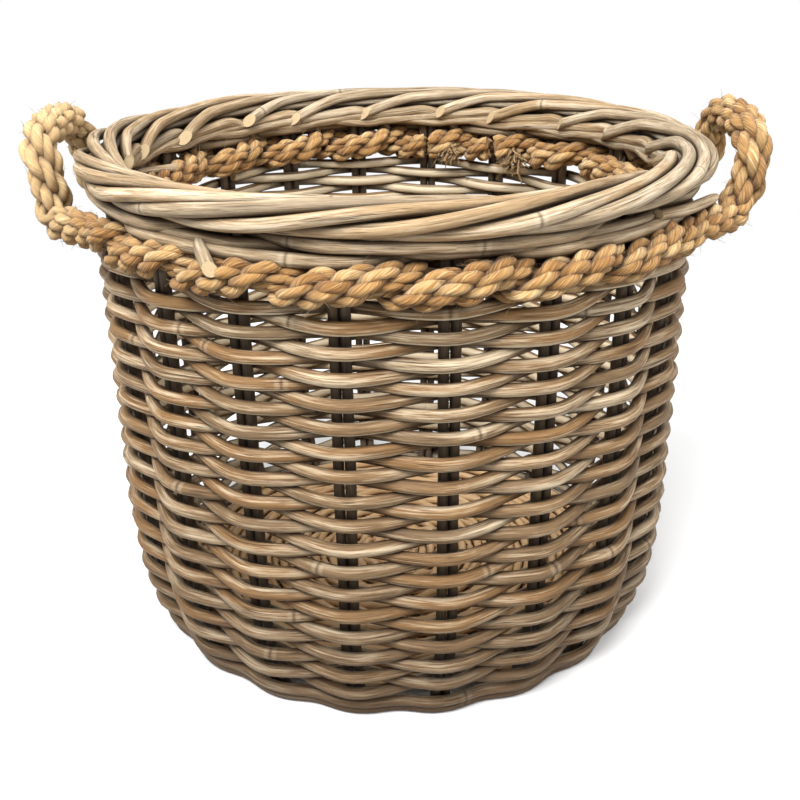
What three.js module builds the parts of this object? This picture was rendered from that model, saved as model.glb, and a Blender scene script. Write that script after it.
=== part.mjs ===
// A round laundry basket woven from rattan rods, with a thick rope twined round its neck and drawn
// out into a carrying loop on each side. Millimetres, +Z up, origin on the floor under the centre.
// The loops stand on +X and -X, and the front looks to -Y.
//
// How it is made: base sticks cross under a woven base, and a pair of stakes rises beside every
// stick end. Two weavers chase each other up the stakes. A foot wale and a top wale lock the ends
// of the weave, the rope is twined below the top wale, and a thick rod border closes the top.
import * as THREE from "three";

// Whole basket
const basketHeight = 405;
const wallDiameter = 450; // through the middle of the stakes
const footDiameter = 400; // the same, on the floor
const footRoundHeight = 110; // the wall is upright above this
const footRoundShare = 2.2; // power of the curve that draws the foot in
const stakesPerQuarter = 5;
const clearance = 0.3; // between pieces that touch

// Stakes: two rods side by side
const stakeRod = 7.7;
const stakeSinkShare = 0.03; // how far the two rods of a pair are pressed into each other
const stakeFootGap = 3; // from the floor to the stake ends
const stakeBendShares = [0, 0.2, 0.5, 1]; // of the rounded height, where a stake is bent

// Weavers
const weaverRod = 8.3;
const bottomPackShare = 1.19; // distance of two rows over the thickness of a rod, at the bottom
const topPackShare = 1.04; // the same at the top
const weaverTurns = 2.2; // that one rod reaches before the next one takes over
const weaverStartShare = 0.7; // of a turn from the front, where the first weaver starts

// Wales
const footWaleRod = 9.4;
const footWaleDip = 5; // how far it falls back towards the wall between two stakes
const topWaleRod = 7.1;
const topWaleRun = 4; // it passes outside all but one of this many stakes

// Border
const borderWidth = 39;
const borderHeight = 25;
const borderOverhang = 3.5; // its middle lies this far outside the middle of the stakes
const borderRods = 12; // rods that are seen in a cut across it
const borderGroove = 2.2; // depth of the groove between two rods

// Base
const spokeWidth = 9;
const spokeThickness = 6;
const hubDiameter = 92;
const matThickness = 8.4;
const matRings = 7; // raised rings on the woven base
const matGroove = 2.4;
const matHubShare = 0.2; // of the mat, the plain middle

// Rope
const ropeDiameter = 23;
const ropeRunShare = 0.1; // of a stake spacing, laid flat on each side of a stake
const ropeBulgeShare = 0.06; // how much wider the rope gets where it is squeezed flat
const ropePinchShare = 0.15; // how much thinner on its way there
const ropeCrossingShares = [0, 0.25, 0.5, 0.75, 1]; // of the way between two stakes, where it bends

// Loops
const loopRope = 26;
const loopStandoff = 12; // from the outside of the border to the middle of a loop's feet
const loopHingeHeight = 349;
const loopFootSpan = 116; // between the two feet of a loop
const loopShoulderSpan = 100;
const loopShoulderLean = 13; // how far its shoulders lie outside its feet
const loopShoulderRise = 54; // and above them
const loopTopLean = 16;
const loopTopRise = 64;
const loopBulgeShare = 0.4; // how far up a leg it is widest
const loopBends = 18; // along a loop
const footRoundDegrees = [30, 60]; // steps in which the ends of a loop are rounded

const stakeCornerTurns = [-3, -1, 1, 3]; // twelfths of a turn, corners of one rod of a pair
const throwRounds = 6; // of working out how far a rod is thrown over a stake
const weaverSides = 5;
const waleSides = 6;
const ropeSides = 8;

const rattan = new THREE.MeshStandardMaterial({ color: 0xa88d6a, roughness: 0.72, metalness: 0 });
const darkRattan = new THREE.MeshStandardMaterial({ color: 0x5e4a37, roughness: 0.8, metalness: 0 });
const paleRattan = new THREE.MeshStandardMaterial({ color: 0xc2b299, roughness: 0.68, metalness: 0 });
const peeledRattan = new THREE.MeshStandardMaterial({ color: 0xd3ae86, roughness: 0.7, metalness: 0 });
const coir = new THREE.MeshStandardMaterial({ color: 0xbf8c4d, roughness: 0.9, metalness: 0 });

const basket = new THREE.Group();
const up = new THREE.Vector3(0, 0, 1);
const wallRadius = wallDiameter / 2;
const stakeCount = 4 * stakesPerQuarter;
const stakeStep = (2 * Math.PI) / stakeCount;
const stakeSpacing = 2 * wallRadius * Math.sin(stakeStep / 2);
const borderRadius = wallRadius + borderOverhang;
const loopHingeReach = borderRadius + borderWidth / 2 + loopStandoff;

function addMesh(name, geometry, material) {
  const mesh = new THREE.Mesh(geometry, material);
  mesh.name = name;
  basket.add(mesh);
}

// A point at an angle from the front (-Y) towards +X, at a radius from the axis and a height.
function around(angle, radius, height) {
  return new THREE.Vector3(radius * Math.sin(angle), -radius * Math.cos(angle), height);
}

// Places on the ring are counted in stakes: stake 0 stands half a step to the right of the front.
function stakeAngle(place) {
  return (place + 0.5) * stakeStep;
}

// The heights at which a stake is bent, and how far the wall is from the axis at each.
const wallBends = stakeBendShares.map((share) => {
  const height = stakeFootGap + share * (footRoundHeight - stakeFootGap);
  const drawn = (1 - height / footRoundHeight) ** footRoundShare;
  return { height, radius: wallRadius - ((wallDiameter - footDiameter) / 2) * drawn };
});

// Distance of the middle of the wall from the axis, and how much wider its slope makes a rod.
function wallAt(height) {
  const above = wallBends.findIndex((bend) => bend.height > height);
  if (above < 0) return { radius: wallRadius, widen: 1 };
  const upper = wallBends[Math.max(above, 1)];
  const lower = wallBends[Math.max(above, 1) - 1];
  const slope = (upper.radius - lower.radius) / (upper.height - lower.height);
  return { radius: lower.radius + slope * (height - lower.height), widen: Math.hypot(1, slope) };
}

function fan(count) {
  return Array.from({ length: count - 2 }, (_, i) => [0, i + 1, i + 2]);
}

// Joins rings of points, each as long as the next, into a closed body. Open ends are capped, and a
// ring that closes on itself may be turned by some points where its end meets its start. The cap
// lists the triangles of an end, which is a fan where nothing else is given.
function loft(rings, { closed = false, turn = 0, cap = fan(rings[0].length) } = {}) {
  const count = rings[0].length;
  const positions = rings.flat().flatMap((p) => [p.x, p.y, p.z]);
  const index = [];
  const spans = closed ? rings.length : rings.length - 1;
  for (let i = 0; i < spans; i++) {
    const next = (i + 1) % rings.length;
    const shift = next === 0 ? turn : 0;
    for (let j = 0; j < count; j++) {
      const k = (j + 1) % count;
      const a = i * count + j;
      const b = i * count + k;
      const c = next * count + ((k + shift) % count);
      const d = next * count + ((j + shift) % count);
      index.push(a, b, c, a, c, d);
    }
  }
  if (!closed) {
    const last = (rings.length - 1) * count;
    for (const [a, b, c] of cap) index.push(a, c, b, last + a, last + b, last + c);
  }
  const geometry = new THREE.BufferGeometry();
  geometry.setAttribute("position", new THREE.Float32BufferAttribute(positions, 3));
  geometry.setIndex(index);
  return geometry;
}

// One ring of points: pairs of an outline, laid along two directions from a centre.
function ringAt(centre, first, second, outline) {
  return outline.map(([a, b]) => centre.clone().addScaledVector(first, a).addScaledVector(second, b));
}

// Rings square to a path. The second of each pair of the outline follows the reference direction.
function pathRings(path, outline, { closed = false, reference = up } = {}) {
  const last = path.length - 1;
  return path.map((point, i) => {
    const before = path[closed ? (i + last) % path.length : Math.max(0, i - 1)];
    const after = path[closed ? (i + 1) % path.length : Math.min(last, i + 1)];
    const along = after.clone().sub(before).normalize();
    const second = reference.clone().addScaledVector(along, -reference.dot(along)).normalize();
    return ringAt(point, second.clone().cross(along), second, outline);
  });
}

function closedSweep(path, outline) {
  return loft(pathRings(path, outline, { closed: true }), { closed: true });
}

function roundOutline(radius, sides) {
  return Array.from({ length: sides }, (_, i) => {
    const angle = (2 * Math.PI * i) / sides;
    return [radius * Math.cos(angle), radius * Math.sin(angle)];
  });
}

// Stakes: a pair of rods side by side, one body, bent in at the foot.
const borderBottom = basketHeight - borderHeight;

function stakeOutline() {
  const radius = stakeRod / 2;
  const offset = radius * (1 - stakeSinkShare);
  const valley = Math.sqrt(radius ** 2 - offset ** 2);
  const right = stakeCornerTurns.map((turn) => {
    const angle = (turn * Math.PI) / 6;
    return [offset + radius * Math.cos(angle), radius * Math.sin(angle)];
  });
  const left = right.map(([x, y]) => [-x, -y]);
  return [...right, [0, valley], ...left, [0, -valley]];
}

function makeStakes() {
  const outline = stakeOutline();
  const cap = THREE.ShapeUtils.triangulateShape(outline.map(([x, y]) => new THREE.Vector2(x, y)), []);
  const bends = [...wallBends, { height: borderBottom - clearance, radius: wallRadius }];
  for (let place = 0; place < stakeCount; place++) {
    const angle = stakeAngle(place);
    const path = bends.map((bend) => around(angle, bend.radius, bend.height));
    const rings = pathRings(path, outline, { reference: around(angle, 1, 0) });
    addMesh("stake_" + String(place + 1).padStart(2, "0"), loft(rings, { cap }), darkRattan);
  }
}

// How far from the middle of a stake pair a rod has to pass to clear both of its rods, when it
// leaves them on a slope.
function clearOf(rod, slope) {
  const touch = (stakeRod + rod) / 2 + clearance;
  return touch * Math.hypot(1, slope) + (slope * stakeRod) / 2;
}

// The same for a rod that goes from the outside of one stake to the inside of the next one: on the
// round wall it leaves an outer side on a steeper slope than an inner side.
function throwOver(rod, radius) {
  let outer = rod;
  let inner = rod;
  for (let round = 0; round < throwRounds; round++) {
    const within = radius - inner;
    const drop = radius - within * Math.cos(stakeStep);
    outer = clearOf(rod, (outer + drop) / (within * Math.sin(stakeStep)));
    const beyond = radius + outer;
    const rise = beyond * Math.cos(stakeStep) - radius;
    inner = clearOf(rod, (inner + rise) / (beyond * Math.sin(stakeStep)));
  }
  return { outer, inner };
}

// Foot wale: two thick rods outside the stakes that fall back between them. The lower one is flat
// underneath, where the basket stands.
const footWaleFlat = (footWaleRod / 2) * Math.cos(Math.PI / waleSides);
const footWaleTop = 4 * footWaleFlat + clearance;

function makeFootWale() {
  const outline = roundOutline(footWaleRod / 2, waleSides);
  for (const [height, name] of [
    [footWaleFlat, "foot_wale_lower"],
    [footWaleTop - footWaleFlat, "foot_wale_upper"],
  ]) {
    const path = [];
    const wall = wallAt(height);
    const halfStep = stakeStep / 2;
    const fall = footWaleDip + wall.radius * (1 - Math.cos(halfStep));
    const reachOut = clearOf(footWaleRod, fall / (wall.radius * Math.sin(halfStep)));
    const radius = wall.radius + reachOut * wall.widen;
    for (let place = 0; place < stakeCount; place++) {
      path.push(around(stakeAngle(place), radius, height));
      path.push(around(stakeAngle(place + 0.5), radius - footWaleDip, height));
    }
    addMesh(name, closedSweep(path, outline), darkRattan);
  }
}

// Top wale: each rod passes outside three stakes and inside the fourth.
const topWaleBottom = borderBottom - 2 * (topWaleRod + clearance);

function makeTopWale() {
  const { outer, inner } = throwOver(topWaleRod, wallRadius);
  const outline = roundOutline(topWaleRod / 2, waleSides);
  for (let rod = 0; rod < 2; rod++) {
    const height = topWaleBottom + topWaleRod / 2 + rod * (topWaleRod + clearance);
    const path = [];
    for (let place = 0; place < stakeCount; place++) {
      const inside = (place + rod * 2) % topWaleRun === 0;
      path.push(around(stakeAngle(place), wallRadius + (inside ? -inner : outer), height));
    }
    const name = rod === 0 ? "top_wale_lower" : "top_wale_upper";
    addMesh(name, closedSweep(path, outline), paleRattan);
  }
}

// Weavers: two rods of the same age that climb two rows in a turn, half a turn apart, always one
// outside and the other inside a stake. Rows are packed from the foot wale up to the rope.
const ropeMiddle = topWaleBottom - clearance - ropeDiameter / 2;
const firstRow = footWaleTop + clearance + weaverRod / 2;
const lastRow = ropeMiddle - ropeDiameter / 2 - clearance - weaverRod / 2;
const packed = (weaverRod * (bottomPackShare + topPackShare)) / 2;
const rowCount = Math.floor((lastRow - firstRow) / packed);
const spread = (lastRow - firstRow) / rowCount / packed;

function rowHeight(row) {
  const bottomPitch = weaverRod * bottomPackShare * spread;
  const topPitch = weaverRod * topPackShare * spread;
  return firstRow + bottomPitch * row - ((bottomPitch - topPitch) * row ** 2) / (2 * rowCount);
}

const halfTurn = stakeCount / 2;

function makeWeavers(letter, firstPlace, firstStep) {
  const path = [];
  const lastStep = firstStep + rowCount * halfTurn - 2;
  for (let step = firstStep; step <= lastStep; step++) {
    const height = rowHeight(step / halfTurn);
    const wall = wallAt(height);
    const { outer, inner } = throwOver(weaverRod, wall.radius);
    const swing = (step - firstStep) % 2 === 0 ? -inner : outer;
    path.push(around(stakeAngle(firstPlace + step), wall.radius + swing * wall.widen, height));
  }
  // One rod takes over from the other behind a stake, where their ends meet.
  const rings = pathRings(path, roundOutline(weaverRod / 2, weaverSides));
  const steps = 2 * Math.round(weaverTurns * halfTurn);
  const gap = clearance / stakeSpacing;
  const shorten = (end, next) => end.map((p, i) => p.clone().lerp(next[i], gap));
  for (let from = 0, number = 1; from < path.length - 1; from += steps, number++) {
    const rod = rings.slice(from, from + steps + 1);
    rod[0] = shorten(rod[0], rod[1]);
    rod[rod.length - 1] = shorten(rod.at(-1), rod.at(-2));
    addMesh("weaver_" + letter + number, loft(rod), rattan);
  }
}

// Border: rods laid over one another all round. A cut across it shows a ring of rods, and every
// rod moves on by one place from stake to stake, up the outside and over to the inside.
function makeBorder() {
  const centreHeight = basketHeight - borderHeight / 2;
  const stations = stakeCount * 2;
  const points = borderRods * 2;
  const rings = [];
  for (let station = 0; station < stations; station++) {
    const angle = (2 * Math.PI * station) / stations;
    const ring = [];
    for (let i = 0; i < points; i++) {
      const turn = (-2 * Math.PI * (i - station)) / points;
      const sink = i % 2 === 0 ? 0 : borderGroove;
      const outward = (borderWidth / 2 - sink) * Math.cos(turn);
      const upward = (borderHeight / 2 - sink) * Math.sin(turn);
      ring.push(around(angle, borderRadius + outward, centreHeight + upward));
    }
    rings.push(ring);
  }
  const turn = (points - (stations % points)) % points;
  addMesh("border", loft(rings, { closed: true, turn }), paleRattan);
}

// Base: spokes that end beside the stakes, and the woven mat that lies on them.
function makeBase() {
  const star = new THREE.Shape();
  const foot = wallBends[0].radius - (stakeRod / 2 + 2 * clearance) * wallAt(stakeFootGap).widen;
  const hub = hubDiameter / 2;
  for (let place = 0; place < stakeCount; place++) {
    const angle = stakeAngle(place) - Math.PI / 2;
    for (const [reach, side] of [[hub, -1], [foot, -1], [foot, 1], [hub, 1]]) {
      const x = reach * Math.cos(angle) - (side * spokeWidth * Math.sin(angle)) / 2;
      const y = reach * Math.sin(angle) + (side * spokeWidth * Math.cos(angle)) / 2;
      if (place === 0 && reach === hub && side < 0) star.moveTo(x, y);
      else star.lineTo(x, y);
    }
  }
  const spokes = new THREE.ExtrudeGeometry(star, { depth: spokeThickness, bevelEnabled: false });
  const matTop = footWaleTop - clearance;
  spokes.translate(0, 0, matTop - matThickness - clearance - spokeThickness);
  addMesh("base_spokes", spokes, darkRattan);

  const edge = wallAt(matTop - matThickness);
  const matRadius = edge.radius - (stakeRod / 2 + 2 * clearance) * edge.widen;
  const profile = [new THREE.Vector2(0, 0), new THREE.Vector2(matRadius, 0)];
  const ringWidth = (matRadius * (1 - matHubShare)) / matRings;
  for (let ring = 0; ring < matRings; ring++) {
    const outer = matRadius - ring * ringWidth;
    profile.push(new THREE.Vector2(outer, matThickness - matGroove));
    profile.push(new THREE.Vector2(outer - ringWidth / 2, matThickness));
  }
  profile.push(new THREE.Vector2(0, matThickness));
  const mat = new THREE.LatheGeometry(profile, stakeCount * 2);
  mat.rotateX(Math.PI / 2);
  mat.translate(0, 0, matTop - matThickness);
  addMesh("base_mat", mat, peeledRattan);
}

// Rope. At each stake one rope lies outside and the other inside. Between two stakes they change
// sides: the one going in passes over the one coming out, and both are squeezed flat.
const ropeRadius = ropeDiameter / 2;
const ropeOffset = stakeRod / 2 + clearance + ropeRadius;
const ropeOutline = roundOutline(1, ropeSides);

function ropeRing(centre, outward, width, height) {
  return ringAt(centre, outward, up, ropeOutline.map(([a, b]) => [a * width, -b * height]));
}

function ropeStation(place, side, change, share) {
  const angle = stakeAngle(place);
  const turn = change ? Math.PI * share : 0;
  const lift = ((ropeRadius + clearance / 2) / 2) * Math.sin(turn);
  const pinch = 1 - ropePinchShare * Math.abs(Math.sin(2 * turn));
  const width = ropeRadius * (pinch + ropeBulgeShare * Math.sin(turn) ** 4);
  const radius = wallRadius + side * ropeOffset * Math.cos(turn);
  const centre = around(angle, radius, ropeMiddle + side * lift);
  return ropeRing(centre, around(angle, 1, 0), width, (ropeRadius - lift) * pinch);
}

// The rings of a rope from one place to another. Outside tells for a whole place whether the rope
// lies outside that stake. It may start and end only beside a stake, where it lies straight.
function ropeRings(from, to, outside) {
  const beside = (place) => ropeStation(place, outside(Math.round(place)) ? 1 : -1, false, 0);
  const rings = [beside(from)];
  for (let place = Math.floor(from); place < to; place++) {
    const side = outside(place) ? 1 : -1;
    const change = outside(place) !== outside(place + 1);
    for (const share of change ? ropeCrossingShares : [0, 1]) {
      const at = place + ropeRunShare + share * (1 - 2 * ropeRunShare);
      if (at > from && at < to) rings.push(ropeStation(at, side, change, share));
    }
  }
  rings.push(beside(to));
  return rings;
}

// The foot of a loop, where it hinges: on the right (+X) or left, at the front or the back.
function loopFoot(right, front) {
  const x = right ? loopHingeReach : -loopHingeReach;
  const y = front ? -loopFootSpan / 2 : loopFootSpan / 2;
  return new THREE.Vector3(x, y, loopHingeHeight);
}

// The last ring of a rope that runs out from a stake to the foot of a loop.
function ropeRunOut(place, right, front) {
  const foot = loopFoot(right, front);
  const start = around(stakeAngle(place), wallRadius + ropeOffset, ropeMiddle);
  const along = foot.clone().sub(start).normalize();
  const centre = foot.clone().addScaledVector(along, -loopRope / 2 - clearance);
  const outward = along.clone().cross(up).normalize();
  if (outward.dot(foot) < 0) outward.negate();
  const level = outward.clone().cross(along);
  if (level.z < 0) level.negate();
  return ringAt(centre, outward, level, ropeOutline.map(([a, b]) => [a * ropeRadius, -b * ropeRadius]));
}

function makeRopes() {
  const quarter = stakesPerQuarter;
  const rightFront = quarter - 2;
  const rightBack = quarter + 1;
  const leftBack = 3 * quarter - 2;
  const leftFront = 3 * quarter + 1;
  const butt = 2 * quarter - 1;
  const even = (place) => place % 2 === 0;
  const run = ropeRunShare / 2;
  const gap = clearance / stakeSpacing;

  // Rope a is drawn out on the right and passes inside four stakes on the left.
  const aOutside = (place) => {
    if (place >= leftBack && place <= leftFront) return false;
    return even(place > leftFront ? place - stakeCount - rightFront : place - rightBack);
  };
  const aRound = ropeRings(butt + gap, rightFront + stakeCount + run, aOutside);
  aRound.push(ropeRunOut(rightFront, true, true));
  addMesh("rope_a_round", loft(aRound), coir);
  const aTail = ropeRings(rightBack - run, butt - gap, aOutside);
  aTail.unshift(ropeRunOut(rightBack, true, false));
  addMesh("rope_a_tail", loft(aTail), coir);

  // Rope b is drawn out on the left and passes inside four stakes on the right.
  const bOutside = (place) => {
    const at = place % stakeCount;
    if (at >= rightFront && at <= rightBack) return false;
    if (at < rightFront) return even(at + stakeCount - leftFront);
    return even(at < leftFront ? at - leftBack : at - leftFront);
  };
  const bStart = ropeRings(butt - 1 + gap, leftBack + run, bOutside);
  bStart.push(ropeRunOut(leftBack, false, false));
  addMesh("rope_b_start", loft(bStart), coir);
  const bRound = ropeRings(leftFront - run, stakeCount + butt - 1 - gap, bOutside);
  bRound.unshift(ropeRunOut(leftFront, false, true));
  addMesh("rope_b_round", loft(bRound), coir);
}

// Loops: each stands on two round feet, so that it can swing on them.
function makeLoop(right) {
  const sign = right ? 1 : -1;
  const radius = loopRope / 2;
  const point = (lean, across, rise) =>
    new THREE.Vector3(sign * (loopHingeReach + lean), across, loopHingeHeight + rise);
  const half = [
    point(0, -loopFootSpan / 2, 0),
    point(loopShoulderLean, -loopFootSpan / 2, loopBulgeShare * loopTopRise),
    point(loopShoulderLean, -loopShoulderSpan / 2, loopShoulderRise),
  ];
  const top = point(loopTopLean, 0, loopTopRise);
  const mirrored = half.map((p) => new THREE.Vector3(p.x, -p.y, p.z)).reverse();
  const curve = new THREE.CatmullRomCurve3([...half, top, ...mirrored], false, "centripetal");
  const path = curve.getSpacedPoints(loopBends);
  const lead = path[0].clone().sub(path[1]).normalize();
  const tail = path.at(-1).clone().sub(path.at(-2)).normalize();
  const outline = roundOutline(radius, ropeSides);
  const outward = new THREE.Vector3(1, 0, 0);
  const frame = (along) => {
    const first = outward.clone().addScaledVector(along, -outward.dot(along)).normalize();
    return [first, along.clone().cross(first)];
  };
  const rings = path.map((p, i) => {
    const before = path[Math.max(0, i - 1)];
    const after = path[Math.min(path.length - 1, i + 1)];
    return ringAt(p, ...frame(after.clone().sub(before).normalize()), outline);
  });
  for (const degrees of footRoundDegrees) {
    const angle = THREE.MathUtils.degToRad(degrees);
    const small = roundOutline(radius * Math.cos(angle), ropeSides);
    const start = path[0].clone().addScaledVector(lead, radius * Math.sin(angle));
    const end = path.at(-1).clone().addScaledVector(tail, radius * Math.sin(angle));
    rings.unshift(ringAt(start, ...frame(lead.clone().negate()), small));
    rings.push(ringAt(end, ...frame(tail), small));
  }
  addMesh(right ? "handle_right" : "handle_left", loft(rings), coir);
}

makeStakes();
makeFootWale();
makeTopWale();
const firstPlace = Math.round(weaverStartShare * stakeCount);
makeWeavers("a", firstPlace, 0);
makeWeavers("b", firstPlace + halfTurn, 1);
makeBorder();
makeBase();
makeRopes();
makeLoop(true);
makeLoop(false);

export default basket;
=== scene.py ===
# %% [markdown]
# # A rattan laundry basket with rope loops
# The imported model gives the size and place of every piece, in metres, with the floor at zero and
# the front towards -Y.

# %% Load the frame
import math

import bpy
import numpy as np
from mathutils import Matrix, Vector


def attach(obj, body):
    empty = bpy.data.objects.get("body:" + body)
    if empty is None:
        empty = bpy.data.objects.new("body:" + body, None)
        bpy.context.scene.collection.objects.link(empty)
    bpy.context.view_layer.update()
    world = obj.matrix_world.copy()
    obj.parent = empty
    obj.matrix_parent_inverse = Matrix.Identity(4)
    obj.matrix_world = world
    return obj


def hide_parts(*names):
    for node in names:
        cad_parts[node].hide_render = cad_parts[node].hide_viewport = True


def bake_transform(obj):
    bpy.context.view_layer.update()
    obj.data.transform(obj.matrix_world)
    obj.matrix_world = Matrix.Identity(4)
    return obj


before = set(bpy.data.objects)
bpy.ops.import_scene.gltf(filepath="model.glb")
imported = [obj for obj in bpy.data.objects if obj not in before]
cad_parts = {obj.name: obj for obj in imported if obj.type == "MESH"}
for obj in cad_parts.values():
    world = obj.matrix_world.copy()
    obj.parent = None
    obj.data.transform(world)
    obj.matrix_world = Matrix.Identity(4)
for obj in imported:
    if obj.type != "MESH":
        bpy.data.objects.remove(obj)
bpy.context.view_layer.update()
MM = 0.001

# %% [markdown]
# ## Camera
# The photograph is taken from close by, so the near side of the rim looks much wider than the far
# side. Only a camera at the true distance gives that: under a metre from the basket, a little above
# the rim, looking down. A small turn and roll set the basket as it is in the frame.

# %% Camera
CAMERA_DISTANCE = 858
CAMERA_HEIGHT = 559
CAMERA_DOWN = 24.43
CAMERA_TURN = -0.25
CAMERA_ROLL = -0.5
LENS = 47.8


def into_scene(name, data):
    """An object in the scene, from a camera, a mesh or a lamp."""
    obj = bpy.data.objects.new(name, data)
    bpy.context.scene.collection.objects.link(obj)
    return obj


camera = into_scene("camera", bpy.data.cameras.new("camera"))
camera.data.lens = LENS
camera.data.sensor_width = 36
camera.location = (0, -CAMERA_DISTANCE * MM, CAMERA_HEIGHT * MM)
tilt = Matrix.Rotation(math.radians(90 - CAMERA_DOWN), 3, "X")
turn = Matrix.Rotation(math.radians(CAMERA_TURN), 3, "Z")
roll = Matrix.Rotation(math.radians(CAMERA_ROLL), 3, "Z")
camera.rotation_euler = (turn @ tilt @ roll).to_euler("XYZ")
bpy.context.scene.camera = camera
bpy.context.scene.view_settings.view_transform = "Standard"
print("camera lens", LENS, "mm at", CAMERA_DISTANCE, "mm")

# %% [markdown]
# ## Places round the wall
# Twenty pairs of stakes stand on a circle, and the weaving is counted in stakes. Place 0 is the
# first stake right of the front, and half a place lies between two stakes. Lengths are millimetres
# until the mesh is made.

# %% Places
STAKES = 20
STEP = 2 * math.pi / STAKES
WALL = 225.0
UP = np.array([0.0, 0.0, 1.0])


def angle_of(place):
    return (np.asarray(place, float) + 0.5) * STEP


def around(angle, radius, height):
    """A point at an angle round the basket. Angle zero is the front."""
    angle, radius, height = np.broadcast_arrays(np.asarray(angle, float), radius, height)
    return np.stack([radius * np.sin(angle), -radius * np.cos(angle), height * np.ones_like(angle)], -1)


print("first stake at", around(angle_of(0), WALL, 0.0).round(1))

# %% [markdown]
# ## The foot and the wobble
# The wall is drawn in at the foot. Nothing on a hand-made basket is quite even, so a smooth wobble
# is added to paths and thicknesses. It comes from a few sine waves with seeded starts, so every
# run of this script makes the same basket.

# %% Foot and wobble
FOOT_DRAW = 25.0
FOOT_HEIGHT = 110.0
# The share by which a rod swells and thins.
UNEVEN = 0.035


def wall_at(height):
    """The radius of the middle of the wall at a height."""
    drawn = np.clip(1 - np.asarray(height, float) / FOOT_HEIGHT, 0, 1) ** 2.2
    return WALL - FOOT_DRAW * drawn


def wander(x, seed, scale):
    """A smooth wobble along x, between about -1 and 1, the same for the same seed."""
    r = np.random.default_rng(seed)
    total = np.zeros_like(np.asarray(x, float))
    for k in (1.0, 1.9, 3.1):
        total = total + np.sin(x * k / scale + r.uniform(0, 2 * np.pi)) / k
    return total / 1.6


print("wall radius at the foot and above:", wall_at(0.0), wall_at(200.0))

# %% [markdown]
# ## Tubes
# Everything on this basket is a long round thing: a rod, a stake or a strand of rope. So one
# function that lays rings along a path does most of the work. A curve with a bevel would do too,
# but rings let us cut an end on a slant, or make a strand thicker where it is free.

# %% Rings along a path
def unit(v):
    return v / np.maximum(np.linalg.norm(v, axis=-1, keepdims=True), 1e-9)


def run_of(path):
    """The length of a path up to each of its points."""
    return np.concatenate([[0], np.cumsum(np.linalg.norm(np.diff(path, axis=0), axis=1))])


def directions(path, reference, closed=False):
    """Along, and two directions across a path. The second follows the reference."""
    if closed:
        along = np.roll(path, -1, axis=0) - np.roll(path, 1, axis=0)
    else:
        along = np.gradient(path, axis=0)
    along = unit(along)
    reference = np.broadcast_to(reference, path.shape)
    second = unit(reference - (reference * along).sum(1, keepdims=True) * along)
    return along, np.cross(second, along), second


def tube_rings(path, radius, sides=12, reference=UP, closed=False):
    """Round rings along a path. The radius may change along it."""
    along, first, second = directions(path, reference, closed)
    radius = np.broadcast_to(radius, len(path))[:, None, None]
    angle = 2 * np.pi * np.arange(sides) / sides
    across = first[:, None] * np.cos(angle)[None, :, None] + second[:, None] * np.sin(angle)[None, :, None]
    return path[:, None] + across * radius


print("rings of a straight rod:", tube_rings(np.array([[0, 0, 0], [0, 9, 0]]), 4.0).shape)

# %% [markdown]
# ## From rings to a mesh
# Rings become quads, and each open end gets a cap. The materials need two things on the mesh. A
# map holds the metres along the rod and the turns round it, so that grain runs along every rod.
# Marks hold the rod's own tone, how deep a point lies in a rope, whether it is on a cut end, and
# how worn it is.

# %% Collect tubes
MARKS = ("tone", "deep", "cut", "worn")
CAP_MAP = np.array([[0, 0], [0.004, 0], [0.002, 0.3]])


class Pieces:
    """Collects tubes for one mesh, with their map and their marks."""

    def __init__(self):
        self.points = []
        self.faces = []
        self.maps = []
        self.marks = {mark: [] for mark in MARKS}
        self.count = 0

    def put(self, points, **marks):
        """Stores points with their marks, and returns the number of the first."""
        first = self.count
        self.points.append(points)
        self.count += len(points)
        for mark in MARKS:
            self.marks[mark].append(np.broadcast_to(marks.get(mark, 0.0), len(points)))
        return first

    def add(self, rings, closed=False, tone=0.5, deep=0.0, worn=0.0, offset=0.0):
        """Adds a tube: quads from ring to ring, and a cap on each open end."""
        n, sides = rings.shape[:2]
        deep = np.broadcast_to(deep, (n, sides)).ravel()
        worn = np.broadcast_to(np.reshape(worn, (-1, 1)), (n, sides)).ravel()
        base = self.put(rings.reshape(-1, 3), tone=tone, deep=deep, worn=worn)
        centre = rings.mean(1)
        if closed:
            centre = np.vstack([centre, centre[:1]])
        run = run_of(centre) * MM + offset
        i, j = np.divmod(np.arange((len(centre) - 1) * sides), sides)
        k = (j + 1) % sides
        after = (i + 1) % n
        quads = [i * sides + j, i * sides + k, after * sides + k, after * sides + j]
        self.faces.extend((np.stack(quads, 1) + base).tolist())
        near, far, left, right = run[i], run[i + 1], j / sides, (j + 1) / sides
        self.maps.append(np.stack([near, left, near, right, far, right, far, left], 1).reshape(-1, 2))
        if not closed:
            self.cap(rings[0], tone, (1, 0, 2))
            self.cap(rings[-1], tone, (0, 1, 2))

    def cap(self, ring, tone, order):
        """Closes an end with its own ring and a middle point, so that its edge stays sharp."""
        sides = len(ring)
        base = self.put(np.vstack([ring, ring.mean(0)]), tone=tone, cut=1.0)
        for j in range(sides):
            corners = (base + j, base + (j + 1) % sides, base + sides)
            self.faces.append([corners[i] for i in order])
            self.maps.append(CAP_MAP)


print("marks on each point:", MARKS)
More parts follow.
